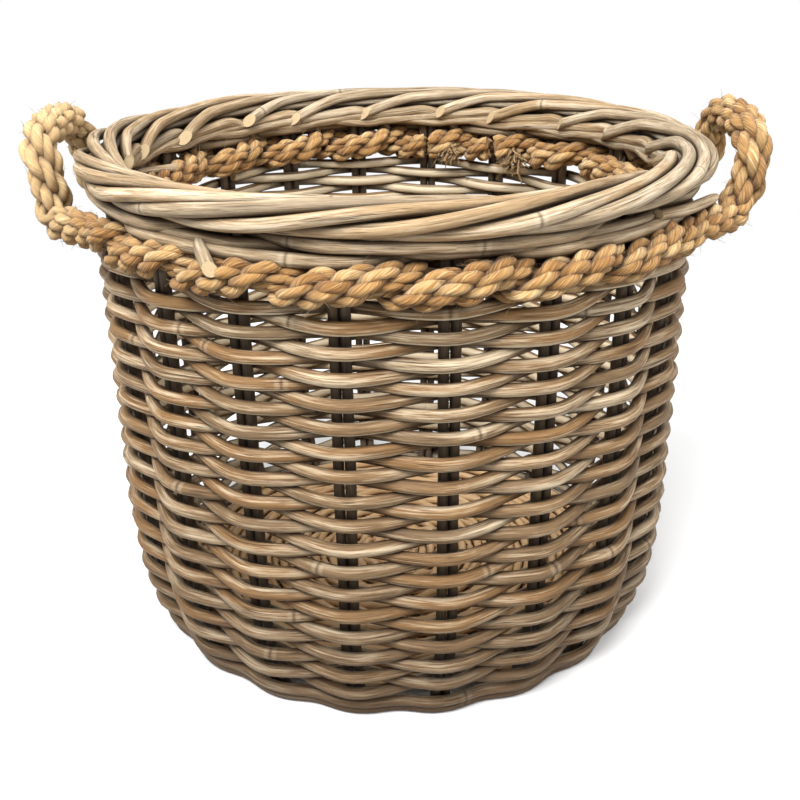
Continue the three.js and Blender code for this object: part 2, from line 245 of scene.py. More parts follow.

# %% [markdown]
# ## Naming a piece
# A piece gets its name, its material, the body that it rides on, and the nodes of the imported model
# that it stands for. A piece that bends from one body to another is left without a body.

# %% Make a piece
def make(pieces, name, material, body="basket", nodes=()):
    mesh = bpy.data.meshes.new(name)
    mesh.from_pydata((np.vstack(pieces.points) * MM).tolist(), [], pieces.faces)
    mesh.shade_smooth()
    uv = mesh.uv_layers.new(name="along")
    uv.data.foreach_set("uv", np.vstack(pieces.maps).astype(np.float32).ravel())
    for mark, values in pieces.marks.items():
        layer = mesh.attributes.new(mark, "FLOAT", "POINT")
        layer.data.foreach_set("value", np.concatenate(values).astype(np.float32))
    mesh.materials.append(material)
    obj = into_scene(name, mesh)
    if body:
        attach(obj, body)
    for node in nodes:
        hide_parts(node)
    return obj


# %% [markdown]
# ## Colours and shader nodes
# Hex colours are what one reads off a picture, so one function turns them to the linear light that
# the shader wants. One more function adds a shader node with its settings and its links and gives
# back an output, so that a material reads like a sum.

# %% Colours and nodes
def linear(hex_colour):
    channels = [int(hex_colour[i : i + 2], 16) / 255 for i in (1, 3, 5)]
    return [c / 12.92 if c <= 0.04045 else ((c + 0.055) / 1.055) ** 2.4 for c in channels] + [1.0]


def add(tree, kind, inputs=None, output=0, stops=(), **settings):
    """Adds a node. An input is a value or another node's output, and stops are a ramp's."""
    node = tree.nodes.new("ShaderNode" + kind)
    for name, value in settings.items():
        setattr(node, name, value)
    for name, value in (inputs or {}).items():
        if isinstance(value, bpy.types.NodeSocket):
            tree.links.new(value, node.inputs[name])
        else:
            node.inputs[name].default_value = value
    for number, (place, colour) in enumerate(stops):
        elements = node.color_ramp.elements
        element = elements[number] if number < 2 else elements.new(place)
        element.position = place
        element.color = linear(colour) if isinstance(colour, str) else [colour] * 3 + [1.0]
    return node.outputs[output] if node.outputs else node


def weigh(tree, total, *parts):
    """Adds up patterns, each times its weight."""
    for part, weight in parts:
        total = add(tree, "Math", {0: part, 1: weight, 2: total}, operation="MULTIPLY_ADD")
    return total


def new_tree(owner):
    """The empty node tree of a material or a world."""
    owner.use_nodes = True
    owner.node_tree.nodes.clear()
    return owner.node_tree


print("mid grey in linear light:", round(linear("#808080")[0], 3))

# %% [markdown]
# ## Streaks on a rod
# Rattan is a bundle of fibres, so all its marks are stretched along the rod. Flat noise on the map
# would show a seam where the turns start again. So the turn is bent to a circle first, and the
# noise lives on the skin of a long cylinder. Its fourth number comes from the rod's own tone, and
# gives each rod its own pattern.

# %% Streaks
MIX = {"output": 2, "data_type": "RGBA"}


def skin_of(tree, twists=0.0):
    """The skin of a rod: metres along it, its circle, and its tone. Fibres may twist round it."""
    place = add(tree, "UVMap", uv_map="along")
    metres, turns = add(tree, "SeparateXYZ", {0: place}).node.outputs[:2]
    twisted = add(tree, "Math", {0: metres, 1: twists, 2: turns}, operation="MULTIPLY_ADD")
    turn = add(tree, "Math", {0: twisted, 1: 2 * math.pi}, operation="MULTIPLY")
    cosine = add(tree, "Math", {0: turn}, operation="COSINE")
    sine = add(tree, "Math", {0: turn}, operation="SINE")
    circle = add(tree, "CombineXYZ", {0: cosine, 1: sine, 2: metres})
    tone = add(tree, "Attribute", output="Fac", attribute_name="tone")
    return metres, circle, tone


def streaks(tree, circle, tone, radius, wide, long, seed, detail=3.0, rough=0.6, jump=37.0):
    """Noise in streaks of so many millimetres, wide and long, on a rod of this radius."""
    cells = (radius / wide, radius / wide, 1000 / long)
    placed = add(tree, "VectorMath", {0: circle, 1: cells}, operation="MULTIPLY")
    own = add(tree, "Math", {0: tone, 1: jump, 2: seed}, operation="MULTIPLY_ADD")
    noise = {"Vector": placed, "W": own, "Scale": 1.0, "Detail": detail, "Roughness": rough}
    return add(tree, "TexNoise", noise, noise_dimensions="4D")


print("a streak of 32 mm is", round(1000 / 32, 1), "cells a metre")

# %% [markdown]
# ## The skin of kubu rattan
# Kubu is rattan cane that is soaked in mud and dried in the sun with its skin on. The mud leaves
# it grey, and where it didn't reach, the golden skin stays. Dark fibres show through as thin
# streaks, and the sun bleaches the highest ones. We lay these over one another like coats of
# stain. Each is a share, from a pattern, and the name of its colour.

# %% Rattan skin
ROD_RADIUS = 4.5


def skin_coats(tree, tone, broad, fine, hair, bleach):
    coats = []
    for parts, stops, colour in (
        (((tone, 0.35), (broad, 0.65)), [(0.36, 0.0), (0.58, 1.0)], "golden"),
        (((hair, 0.35), (fine, 0.65)), [(0.36, 0.72), (0.50, 0.0)], "dark"),
        (((fine, 0.50), (broad, 0.50)), [(0.48, 0.0), (0.64, bleach)], "light"),
    ):
        total = weigh(tree, 0.0, *parts)
        coats.append((add(tree, "ValToRGB", {"Fac": total}, stops=stops), colour))
    return coats


print("rods are drawn as", 2 * ROD_RADIUS, "mm thick by the patterns")

# %% [markdown]
# ## Joints of the cane
# Each length of cane grew between two leaves, and a leaf leaves a scar: a dark line with a pale,
# slightly raised edge. Cells in one direction, along the rod, put them about 450 mm apart. The
# finest streaks make the line a little wavy.

# %% Rattan joints
JOINT_SPACING = 450.0
JOINT_JUMP = 91.0
WAVE = 0.006
SCAR = (0.7, 1.4)
SCAR_EDGE = (1.4, 2.2, 5.0)


def joint_coats(tree, metres, tone, hair):
    own = add(tree, "Math", {0: tone, 1: JOINT_JUMP}, operation="MULTIPLY")
    cells = {0: metres, 1: 1000 / JOINT_SPACING, 2: own}
    along = add(tree, "Math", cells, operation="MULTIPLY_ADD")
    joint = add(tree, "TexVoronoi", {"W": along, "Scale": 1.0}, "Distance", voronoi_dimensions="1D")
    joint = add(tree, "Math", {0: joint, 1: WAVE / 2}, operation="SUBTRACT")
    wavy = add(tree, "Math", {0: hair, 1: WAVE, 2: joint}, operation="MULTIPLY_ADD")
    edge = [(mm / JOINT_SPACING, share) for mm, share in zip(SCAR_EDGE, (0.0, 0.35, 0.0))]
    scar = [(mm / JOINT_SPACING, share) for mm, share in zip(SCAR, (0.6, 0.0))]
    edge = add(tree, "ValToRGB", {"Fac": wavy}, stops=edge)
    scar = add(tree, "ValToRGB", {"Fac": wavy}, stops=scar)
    return [(edge, "light"), (scar, "dark")]


print("joints every", JOINT_SPACING, "mm, with a line of", SCAR[1], "mm")

# %% [markdown]
# ## Cracks, painted shade and painted light
# Thin cracks run along dry cane. Where rods press on one another, the crevices that ambient
# occlusion finds within 12 mm are darkened as painted shade. Faces that look inwards are lightened
# as painted light, and the rows near the floor are darker towards the floor.

# %% Rattan cracks and painted shading
CREVICE_SHADE_REACH = 12.0


def cracks_of(tree, circle, tone):
    """A crack is a thin level line of a long streaky noise, kept only in some places."""
    line = streaks(tree, circle, tone, ROD_RADIUS, wide=2.8, long=200.0, seed=21.0, detail=1.0)
    narrow = [(0.488, 0.0), (0.498, 1.0), (0.502, 1.0), (0.512, 0.0)]
    line = add(tree, "ValToRGB", {"Fac": line}, stops=narrow)
    where = streaks(tree, circle, tone, ROD_RADIUS, wide=9.0, long=70.0, seed=33.0, detail=1.0)
    where = add(tree, "ValToRGB", {"Fac": where}, stops=[(0.48, 0.0), (0.58, 0.9)])
    return add(tree, "Math", {0: line, 1: where}, operation="MULTIPLY")


def cracks_and_painted_shading_coats(tree, crack, place, inside):
    # Painted shade: ambient occlusion darkens the colour in the crevices where rods press together.
    near = add(tree, "AmbientOcclusion", {"Distance": CREVICE_SHADE_REACH * MM}, "AO", samples=6)
    painted_crevice_shade = add(tree, "ValToRGB", {"Fac": near}, stops=[(0.38, 0.96), (0.90, 0.0)])
    # The cracks are real marks. The crevice part is painted shade.
    cracks_and_painted_shade = add(tree, "Math", {0: crack, 1: painted_crevice_shade}, operation="MAXIMUM")
    # Painted light: faces that look inwards are lightened by the inside share, away from cracks and
    # painted shade.
    outward = add(tree, "VectorMath", {0: place}, operation="NORMALIZE")
    normal = add(tree, "NewGeometry", output="Normal")
    facing = add(tree, "VectorMath", {0: outward, 1: normal}, "Value", operation="DOT_PRODUCT")
    inward_faces_lightened = add(tree, "ValToRGB", {"Fac": facing}, stops=[(0.0, inside), (0.15, 0.0)])
    outside_cracks_and_shade = add(tree, "Math", {0: 1.0, 1: cracks_and_painted_shade}, operation="SUBTRACT")
    painted_inward_light = add(tree, "Math", {0: inward_faces_lightened, 1: outside_cracks_and_shade}, operation="MULTIPLY")
    # Darker towards the floor: the lowest rows are mixed towards the dark colour.
    height = add(tree, "SeparateXYZ", {0: place}, "Z")
    darker_near_floor = add(tree, "ValToRGB", {"Fac": height}, stops=[(0.0, 0.6), (0.14, 0.22), (0.34, 0.0)])
    return [(cracks_and_painted_shade, "dark"), (painted_inward_light, "light"), (darker_near_floor, "dark")]


# Prints how far the painted crevice shade reaches.
print("painted crevice shade within", CREVICE_SHADE_REACH, "mm")

# %% [markdown]
# ## One rattan from its coats
# A cut end shows pale pith with dark pores, about a millimetre apart. It has no skin, so it is
# mixed in last, by its mark. Cane is smooth but dry and unvarnished: the roughness stays near 0.6
# and the mirror part is weak. The bump follows the fibres, the cracks and the raised joint edges.

# %% Rattan material
PORE = 1.1


# inside is the share of painted light on the faces that look inwards.
def rattan(name, bleach, inside=0.0, **colours):
    material = bpy.data.materials.new(name)
    tree = new_tree(material)
    metres, circle, tone = skin_of(tree)
    broad = streaks(tree, circle, tone, ROD_RADIUS, wide=7.5, long=80.0, seed=1.0)
    fine = streaks(tree, circle, tone, ROD_RADIUS, wide=1.25, long=32.0, seed=5.0, detail=4.0, rough=0.7)
    hair = streaks(tree, circle, tone, ROD_RADIUS, wide=0.45, long=15.0, seed=9.0, detail=2.0)
    place = add(tree, "TexCoord", output="Object")
    crack = cracks_of(tree, circle, tone)
    joints = joint_coats(tree, metres, tone, hair)
    coats = skin_coats(tree, tone, broad, fine, hair, bleach) + joints
    skin = linear(colours["grey"])
    for share, colour in coats + cracks_and_painted_shading_coats(tree, crack, place, inside):
        skin = add(tree, "Mix", {0: share, 6: skin, 7: linear(colours[colour])}, **MIX)
    pores = add(tree, "TexVoronoi", {"Vector": place, "Scale": 1000 / PORE}, "Distance")
    pores = add(tree, "ValToRGB", {"Fac": pores}, stops=[(0.12, 0.7), (0.3, 0.0)])
    pith = add(tree, "Mix", {0: pores, 6: linear(colours["pith"]), 7: linear(colours["grey"])}, **MIX)
    cut = add(tree, "Attribute", output="Fac", attribute_name="cut")
    colour = add(tree, "Mix", {0: cut, 6: skin, 7: pith}, **MIX)
    grain = weigh(tree, 0.0, (hair, 0.6), (fine, 0.8), (crack, -1.0), (joints[0][0], 1.43))
    bump = add(tree, "Bump", {"Height": grain, "Strength": 0.8, "Distance": 0.9 * MM})
    rough = add(tree, "Math", {0: fine, 1: 0.3, 2: 0.45}, operation="MULTIPLY_ADD")
    surface = {"Base Color": colour, "Normal": bump, "Roughness": rough, "IOR": 1.5,
               "Specular IOR Level": 0.35}
    add(tree, "OutputMaterial", {"Surface": add(tree, "BsdfPrincipled", surface)})
    return material


print("pores every", PORE, "mm")

# %% [markdown]
# ## Four rattans
# The wall is plain kubu. The stakes stand behind the rows in their shadow, so they get a copy of
# kubu that is painted darker: painted shade. The border is on top and is bleached by sun and hands.
# The base is cane that was peeled and never soaked, so it is still the colour of straw.

# %% Four rattans
# The number after the bleach is the painted light on the faces that look inwards.
kubu = rattan("kubu_rattan", 0.85, 0.8, grey="#846b4c", golden="#936e43",
              dark="#3a2616", light="#f0dfbf", pith="#cdb48c")
# Painted shade: a darker copy of kubu for the stakes and the base sticks, which lie in shadow.
kubu_painted_shade = rattan("rattan_stake_painted_shade", 0.4, 0.5, grey="#62513f", golden="#6c5639",
                   dark="#2b2118", light="#94806a", pith="#b99f78")
kubu_pale = rattan("weathered_rattan_border", 0.8, grey="#9a8970", golden="#a98c66",
                   dark="#42311f", light="#e2d5bd", pith="#cdb48c")
peeled = rattan("raw_rattan_base", 0.6, grey="#e6c9a2", golden="#ecca9b",
                dark="#b48d60", light="#fff0da", pith="#ecd6b0")
print("materials:", [m.name for m in bpy.data.materials])

# %% [markdown]
# ## Stakes
# A stake is a pair of rods side by side, bent in at the foot. They are mostly hidden, but their
# dark faces between the rows give the wall its rhythm, so each rod is laid by itself, with its own
# sway and its own thickness.

# %% Stakes
STAKE_ROD = 7.7
STAKE_TOP = 382.0
STAKE_APART = STAKE_ROD * 1.01
SWAY = 0.35
STAKE_HEIGHTS = np.concatenate([np.linspace(2, FOOT_HEIGHT, 19), np.linspace(118, STAKE_TOP, 34)])


def make_stake(place, rng):
    pieces = Pieces()
    angle = angle_of(place)
    tangent = np.array([math.cos(angle), math.sin(angle), 0])
    for side in (-1, 1):
        seed = 100 + place * 2 + side
        centre = around(angle, wall_at(STAKE_HEIGHTS), STAKE_HEIGHTS)
        sway = side * STAKE_APART / 2 + SWAY * wander(STAKE_HEIGHTS, seed, 40)
        radius = STAKE_ROD / 2 * (1 + UNEVEN * wander(STAKE_HEIGHTS, seed + 7, 23))
        rings = tube_rings(centre + sway[:, None] * tangent, radius, 12, around(angle, 1.0, 0.0))
        pieces.add(rings, tone=rng.uniform(0.25, 0.75))
    # The stakes take the darker copy of kubu, which paints their shade.
    make(pieces, f"stake_rods_{place + 1:02d}", kubu_painted_shade, nodes=[f"stake_{place + 1:02d}"])


stake_rng = np.random.default_rng(7)
for place in range(STAKES):
    make_stake(place, stake_rng)
print("stakes:", STAKES)

# %% [markdown]
# ## The path of a weaver
# Two rods chase each other up the stakes. A stiff rod between two stakes bends in a smooth wave:
# straight where it lies across a stake, and on a slope where it changes sides. The rows stand a
# little further apart at the foot than at the top. They follow one another closely, so a slow
# wobble is shared by all rows, and each rod adds a little of its own.

# %% Weave path
FIRST_ROW = 21.0
LAST_ROW = 337.5
ROWS = 34
BOTTOM_PITCH = 9.93
WEAVER_OUT = 9.7
WEAVER_IN = 8.3
SHARED_WAVE = 0.9
OWN_WAVE = 0.45


def row_height(row):
    top_pitch = 2 * (LAST_ROW - FIRST_ROW) / ROWS - BOTTOM_PITCH
    return FIRST_ROW + BOTTOM_PITCH * row - (BOTTOM_PITCH - top_pitch) * row**2 / (2 * ROWS)


def weave_side(place, outside_when, outer, inner):
    """How far outside the wall's middle a rod lies. outside_when(k) tells its side at stake k."""
    k = np.floor(place).astype(int)
    reach = np.array([outer if outside_when(i) else -inner for i in range(k.min(), k.max() + 2)])
    here, following = reach[k - k.min()], reach[k - k.min() + 1]
    x = np.clip((place - k - 0.5) / 0.43, -1, 1)
    share = 0.5 + 0.5 * (0.7 * x + 0.3 * (1.5 * x - 0.5 * x**3))
    return here + (following - here) * share


def weaver_path(first_place, first_step, steps, seed):
    """Points along a weaver at steps, counted in stakes from its start."""
    height = row_height((steps + first_step) / (STAKES / 2))
    angle = angle_of(first_place + first_step + steps)
    held = np.clip((340 - height) / 60, 0, 1) * np.clip((height - 18) / 40, 0, 1)
    height = height + SHARED_WAVE * wander(angle, 41, 0.35) * held + OWN_WAVE * wander(steps, seed, 0.9)
    offset = weave_side(steps, lambda k: k % 2 == 1, WEAVER_OUT, WEAVER_IN)
    offset = offset + 0.5 * wander(steps, seed + 5, 1.3)
    slope = np.gradient(wall_at(np.linspace(0, 420, 421)))[np.clip(height.astype(int), 0, 420)]
    return around(angle, wall_at(height) + offset * np.hypot(1, slope), height)


print("row pitch at the foot", BOTTOM_PITCH, "mm, last row at", row_height(ROWS), "mm")

# %% [markdown]
# ## Weavers
# The two start on opposite sides. Each runs about seventeen times round the basket, pieced from
# rods as long as a cane gives. Where one rod ends the next begins beside it, and the two overlap by
# a finger's width. The rods grow a little thinner from the floor to the rim.

# %% Weavers
WEAVER_ROD = 9.4
FIRST_PLACE = 14
STATIONS = 11
SPAN = 44
LAP = 0.12


def lay_rod(pieces, path, radius, seed, sides=12):
    """One rattan rod, which swells and thins a little."""
    swell = 1 + UNEVEN * wander(run_of(path), seed, 31)
    tone = np.random.default_rng(seed).uniform(0.05, 0.95)
    pieces.add(tube_rings(path, radius * swell, sides), tone=tone)


def make_weaver(letter, first_place, first_step, seed):
    last = ROWS * STAKES // 2 - 2
    for number, start in enumerate(range(0, last, SPAN), 1):
        end = min(start + SPAN, last)
        r = np.random.default_rng(seed + number)
        cuts = [start]
        while cuts[-1] < end:
            cuts.append(min(cuts[-1] + 2 * int(r.integers(7, 14)), end))
        pieces = Pieces()
        for a, b in zip(cuts, cuts[1:]):
            lap = LAP if b < end else 0.0
            steps = np.linspace(a, b + lap, (b - a) * STATIONS + 1)
            path = weaver_path(first_place, first_step, steps, seed)
            thick = r.uniform(0.95, 1.05) * (1.03 - 0.05 * a / last)
            lay_rod(pieces, path, WEAVER_ROD / 2 * thick, seed * 50 + a)
        make(pieces, f"rods_{letter}{number}", kubu, nodes=[f"weaver_{letter}{number}"])
    print("weaver", letter, "rods:", number)


make_weaver("a", FIRST_PLACE, 0, 11)
make_weaver("b", FIRST_PLACE + STAKES // 2, 1, 23)

# %% [markdown]
# ## Wales
# A wale is a stronger row that locks the weave. At the foot two thick rods lie outside the stakes
# and fall back between them. Under the border pale rods pass outside three stakes and inside the
# fourth. A third rod lies behind the other two and fills the gaps where they pass inside.

# %% Wales
RING_PLACES = np.arange(STAKES * 9) / 9
FOOT_RODS = ((4.4, "foot_wale_lower"), (12.7, "foot_wale_upper"))
TOP_RODS = ((368.0, 11.0, ["top_wale_lower"]), (377.4, 11.0, ["top_wale_upper"]), (372.6, 6.5, []))


def ring_rod(name, nodes, material, radius, height, rod, seed):
    """A rod that closes on itself, given by its radius and height at the ring places."""
    angle = angle_of(RING_PLACES)
    swell = 1 + UNEVEN * wander(angle, seed, 0.08)
    pieces = Pieces()
    pieces.add(tube_rings(around(angle, radius, height), rod / 2 * swell, 14, closed=True), closed=True)
    make(pieces, name, material, nodes=nodes)


for number, (middle, node) in enumerate(FOOT_RODS):
    height = middle + 0.25 * wander(RING_PLACES, 50 + number, 1.1)
    fall_back = 5.0 * (0.5 - 0.5 * np.cos(2 * np.pi * RING_PLACES)) ** 1.2
    radius = wall_at(middle) + 9.8 - fall_back
    ring_rod(f"foot_rod_{number + 1}", [node], kubu, radius, height, 8.9, 60 + number)
for number, (middle, reach, nodes) in enumerate(TOP_RODS):
    shift = 2 * number
    height = middle + 0.5 * np.sin((RING_PLACES + shift) * np.pi / 2)
    outside = lambda k: (k + shift + number // 2) % 4 != 0
    radius = WALL + weave_side(RING_PLACES, outside, reach, 8.0)
    ring_rod(f"top_rod_{number + 1}", nodes, kubu_pale, radius, height, 9.8, 70 + number)
print("foot rods:", len(FOOT_RODS), "top rods:", len(TOP_RODS))

# %% [markdown]
# ## Lines through chosen points
# The border, the loops and the cut ends follow a few chosen points. The line passes through each
# of them and is round in between. Then its points are spread evenly, and so are the tube's rings.

# %% Smooth lines and slanted cuts
def smooth_line(points, count):
    """A rounded line through chosen points, evenly spaced."""
    points = np.asarray(points, float)
    longer = np.vstack([2 * points[0] - points[1], points, 2 * points[-1] - points[-2]])
    t = np.linspace(0, 1, 30, endpoint=False)[:, None]
    parts = []
    for i in range(1, len(longer) - 2):
        p0, p1, p2, p3 = longer[i - 1 : i + 3]
        bend = (2 * p0 - 5 * p1 + 4 * p2 - p3) * t**2 + (3 * p1 - p0 - 3 * p2 + p3) * t**3
        parts.append(0.5 * (2 * p1 + (p2 - p0) * t + bend))
    line = np.vstack(parts + [points[-1:]])
    run = run_of(line)
    even = np.linspace(0, run[-1], count)
    return np.stack([np.interp(even, run, line[:, c]) for c in range(3)], 1)


def slant_cut(rings, path, facing):
    """Cuts the end of a rod on a slant, so that its pale face looks in a direction."""
    along = unit(path[-1] - path[-3])
    normal = unit(along * 0.75 + unit(facing))
    spoke = rings[-1] - path[-1]
    shift = -(spoke @ normal) / (along @ normal)
    rings[-1] = rings[-1] + along * (shift - shift.min())[:, None] * 0.9


print("a line of", len(smooth_line([(0, 0, 0), (5, 5, 0), (10, 0, 0)], 12)), "points")

# %% [markdown]
# ## The course of one border rod
# The border is the hardest piece of the basket. Each stake end is laid down inside, comes out
# between two stakes, climbs over its neighbours on the outside, goes over the top, and ends
# inside, where its tip stands off. Seen on a cut through the rim, it travels round a flat oval, so
# the rod is laid by how far it has come round that oval, while it goes on from stake to stake.

# %% Border rod
BORDER_RADIUS = 228.5
BORDER_MIDDLE = 392.3
BORDER_WIDE = 14.9
BORDER_HIGH = 7.9
BORDER_STEPS = 4.9
BORDER_START = -17.0
BORDER_CLIMB = 10.6
LIFT_LOW = -2.4
LIFT_RISE = 4.2
UNRULY = 2.0
TIP_DROP = 9.0
TIP_IN = 7.0


def turn_at(length):
    """The angle round the border's oval at a length along it, from the outside upwards."""
    t = np.linspace(-2 * np.pi, 2 * np.pi, 2400)
    run = np.cumsum(np.hypot(BORDER_WIDE * np.sin(t), BORDER_HIGH * np.cos(t))) * (t[1] - t[0])
    return np.interp(length, run - np.interp(0, t, run), t)


def over_the_rim(start, r):
    """Out at the bottom, up, over the top and in again."""
    steps = np.linspace(0, BORDER_STEPS + r.uniform(-0.2, 0.2), 74)
    share = steps / steps[-1]
    turn = turn_at(BORDER_START + steps * BORDER_CLIMB + 1.8 * wander(steps, 560 + start, 1.1))
    # A rod comes out under its neighbours and climbs onto them.
    lift = LIFT_LOW + LIFT_RISE * np.sin(np.pi * np.clip(share * 1.15 - 0.1, 0, 1)) ** 0.8
    lift = lift + UNRULY * wander(steps, 500 + start, 0.9)
    tip = np.clip((share - 0.86) / 0.14, 0, 1) ** 1.3
    radius = BORDER_RADIUS + (BORDER_WIDE + lift) * np.cos(turn) - TIP_IN * tip
    height = BORDER_MIDDLE + (BORDER_HIGH + 0.7 * lift) * np.sin(turn) - TIP_DROP * tip
    return around(angle_of(start + 1.0 + steps), radius, height)


def inside_the_stakes(start):
    """From the top of its stake along the inside, falling a little."""
    lead = np.linspace(-2.5, -0.42, 20)
    height = 386 - 11.5 * (lead + 2.5) / 2.08
    level = around(angle_of(start + 0.5 + lead), 215.6 + 0.9 * wander(lead, 580 + start, 0.9), height)
    bend = angle_of(start + 0.5 + np.array([-2.9, -2.82]))
    stake_top = around(bend, np.array([224.0, 219.0]), np.array([366.0, 377.0]))
    return np.vstack([stake_top, level[::3]])


print("a rod goes", round(BORDER_STEPS * BORDER_CLIMB), "mm round the oval")

# %% [markdown]
# ## Border
# Twenty such rods wind round the rim like a rope. The core only keeps light from coming through.

# %% Border
BORDER_ROD = 9.5
CORE_WIDE = BORDER_WIDE - 6
CORE_HIGH = BORDER_HIGH - 3


def add_border_rod(pieces, start):
    r = np.random.default_rng(300 + start)
    path = smooth_line(np.vstack([inside_the_stakes(start), over_the_rim(start, r)[3::3]]), 120)
    rod = BORDER_ROD / 2 * r.uniform(0.93, 1.05)
    rings = tube_rings(path, rod * (1 + 0.04 * wander(run_of(path), 330 + start, 29)), 16, UP)
    slant_cut(rings, path, unit(-path[-1] * np.array([1, 1, 0])) + 0.7 * UP)
    pieces.add(rings, tone=r.uniform(0.05, 0.95))


def add_border_core(pieces):
    turn = np.linspace(0, 2 * np.pi, 13)[:-1]
    radius = BORDER_RADIUS + CORE_WIDE * np.cos(turn)
    height = BORDER_MIDDLE + CORE_HIGH * np.sin(turn)
    rings = np.stack([around(angle, radius, height) for angle in np.linspace(0, 2 * np.pi, 121)[:-1]])
    pieces.add(rings[:, ::-1], closed=True, tone=0.0)


border = Pieces()
for start in range(STAKES):
    add_border_rod(border, start)
add_border_core(border)
make(border, "border_rods", kubu_pale, nodes=["border"])
print("border rods:", STAKES)

# %% [markdown]
# ## Base
# Sticks meet under the middle and open out like spokes. Thin rods are woven round them, over one
# and under the next. The base is hardly seen, so plain closed rings stand for the one long spiral
# of the real one.

# %% Base
BASE_STICK = 8.0
BASE_RADIUS = 193
BASE_ROD = 7.4
BASE_PITCH = 7.6
BASE_FIRST = 8.8
BASE_RINGS = 25

spokes = Pieces()
for place in range(STAKES):
    path = around(angle_of(place), np.linspace(3, BASE_RADIUS, 12), 8.2)
    lay_rod(spokes, path, BASE_STICK / 2, 600 + place, 10)
# The base sticks take the same darker copy of kubu, as painted shade.
make(spokes, "base_sticks", kubu_painted_shade, nodes=["base_spokes"])

mat = Pieces()
quarters = np.arange(STAKES * 4) / 4
for ring in range(BASE_RINGS):
    radius = BASE_FIRST + ring * BASE_PITCH + 0.4 * wander(quarters, 640 + ring, 1.7)
    path = around(angle_of(quarters), radius, 11.6 + np.cos(np.pi * (quarters + ring)) * 2.6)
    tone = 0.2 + 0.6 * ((ring * 7) % 5) / 4
    mat.add(tube_rings(path, BASE_ROD / 2, 8, closed=True), closed=True, tone=tone)
make(mat, "base_weave", peeled, nodes=["base_mat"])
print("base rings:", BASE_RINGS)

# %% [markdown]
# ## The course of the rope
# Two runs of rope twine round the stakes under the border. At each stake one run lies outside and
# the other inside. Between two stakes they change sides, and the one that goes in passes over the
# one that comes out. Where they pass, both are pressed wider and flatter.

# %% Rope path
ROPE = 26.0
ROPE_MIDDLE = 353.4
ROPE_OFFSET = STAKE_ROD / 2 + 0.3 + ROPE / 2
STRAIGHT = 0.1
CROSSING_BULGE = 7.0
PRESSED_WIDE = 0.16
PRESSED_FLAT = 0.28


def twine(places, outside):
    """Centre, width and height of the rope at places along the ring."""
    k = np.floor(places).astype(int)
    t = np.clip((places - k - STRAIGHT) / (1 - 2 * STRAIGHT), 0, 1)
    side = np.array([1.0 if outside(i) else -1.0 for i in k])
    change = np.array([outside(i) != outside(i + 1) for i in k])
    turn = np.where(change, np.pi * t, 0.0)
    lift = (ROPE / 2 + 0.1) / 2 * np.sin(turn)
    pressed = np.sin(turn) ** 2
    radius = WALL + side * ROPE_OFFSET * np.cos(turn) + CROSSING_BULGE * pressed
    centre = around(angle_of(places), radius, ROPE_MIDDLE + side * lift)
    return centre, 1 + PRESSED_WIDE * pressed, 1 - PRESSED_FLAT * pressed


print("rope middle stands", ROPE_OFFSET, "mm off the stakes' middle")

# %% [markdown]
# ## The course of a loop
# On each side one run is drawn out and makes a loop to lift the basket by. We follow half of a
# loop from the wall to its top and mirror it. The left loop stands a little more upright.

# %% Loop path
LOOP = [(244, -76, 351), (257, -62, 352), (267, -57, 368), (271, -56, 387), (271, -49, 403),
        (272, -28, 411), (273, 0, 412)]
UPRIGHT = ((352, 368, 387, 403), (0, 8, 9, 4))
LOOP_SWELL = 2.2
PER_STAKE = 30


def loop_points(right, front):
    """Half of a loop, from the wall to its top."""
    points = np.array(LOOP, float)
    if not right:
        points[:, 0] = -points[:, 0] + np.interp(points[:, 2], *UPRIGHT)
    if not front:
        points[:, 1] *= -1
    return points


def rope_line(outside, first, last, right):
    """The whole course of one rope: round the ring, over its loop, and back to the ring."""
    before = twine(np.arange(first, last[0], 1 / PER_STAKE), outside)
    after = twine(np.arange(last[1], last[2], 1 / PER_STAKE), outside)
    way_up = loop_points(right, right)
    way_down = loop_points(right, not right)[::-1]
    loop = smooth_line(np.vstack([before[0][-4], way_up, way_down[1:], after[0][3]]), 330)
    swell = LOOP_SWELL * np.sin(np.pi * np.linspace(0, 1, len(loop))) ** 0.35
    centre = np.vstack([before[0][:-4], loop, after[0][4:]])
    width, height = (np.concatenate([b[:-4], np.ones(len(loop)), a[4:]])
                     for b, a in zip(before[1:], after[1:]))
    start = len(before[0]) - 4
    radius = np.full(len(centre), ROPE / 2)
    radius[start : start + len(loop)] += swell
    return centre, width, height, radius, start, start + len(loop)


print("half a loop is", round(run_of(np.array(LOOP, float))[-1]), "mm long")

# %% [markdown]
# ## Strands and yarns
# The rope is laid from three strands, and each strand is twisted from three yarns the other way,
# so that the two twists hold each other. We follow the same build: nine tubes wind round the path
# of the rope. On the outside the two windings nearly cancel, and a yarn shows as a short lobe
# almost in line with the rope. That is the look of a laid rope.

# %% Rope yarns
LAY = 72.0
YARN_LAY = 40.0
YARN_SIDES = 8
STRAND_REACH = 0.47
YARN_REACH = 0.235
YARN_THICK = 0.295


def yarn_line(centre, width, height, radius, run, strand, yarn):
    """The middle line of one yarn, and a direction across the rope for its rings."""
    along, across, level = directions(centre, unit(centre * np.array([1, 1, 0])))
    up = np.cross(along, level)
    turn = -2 * np.pi * run / LAY + 2 * np.pi * strand / 3
    loose = 0.35 * wander(run, 900 + strand * 3 + yarn, 30.0)
    twist = 2 * np.pi * run / YARN_LAY + 2 * np.pi * yarn / 3 + loose
    a = STRAND_REACH * np.cos(turn) + YARN_REACH * np.cos(twist)
    b = STRAND_REACH * np.sin(turn) + YARN_REACH * np.sin(twist)
    middle = centre + level * (a * radius * width)[:, None] + up * (b * radius * height)[:, None]
    return middle, level


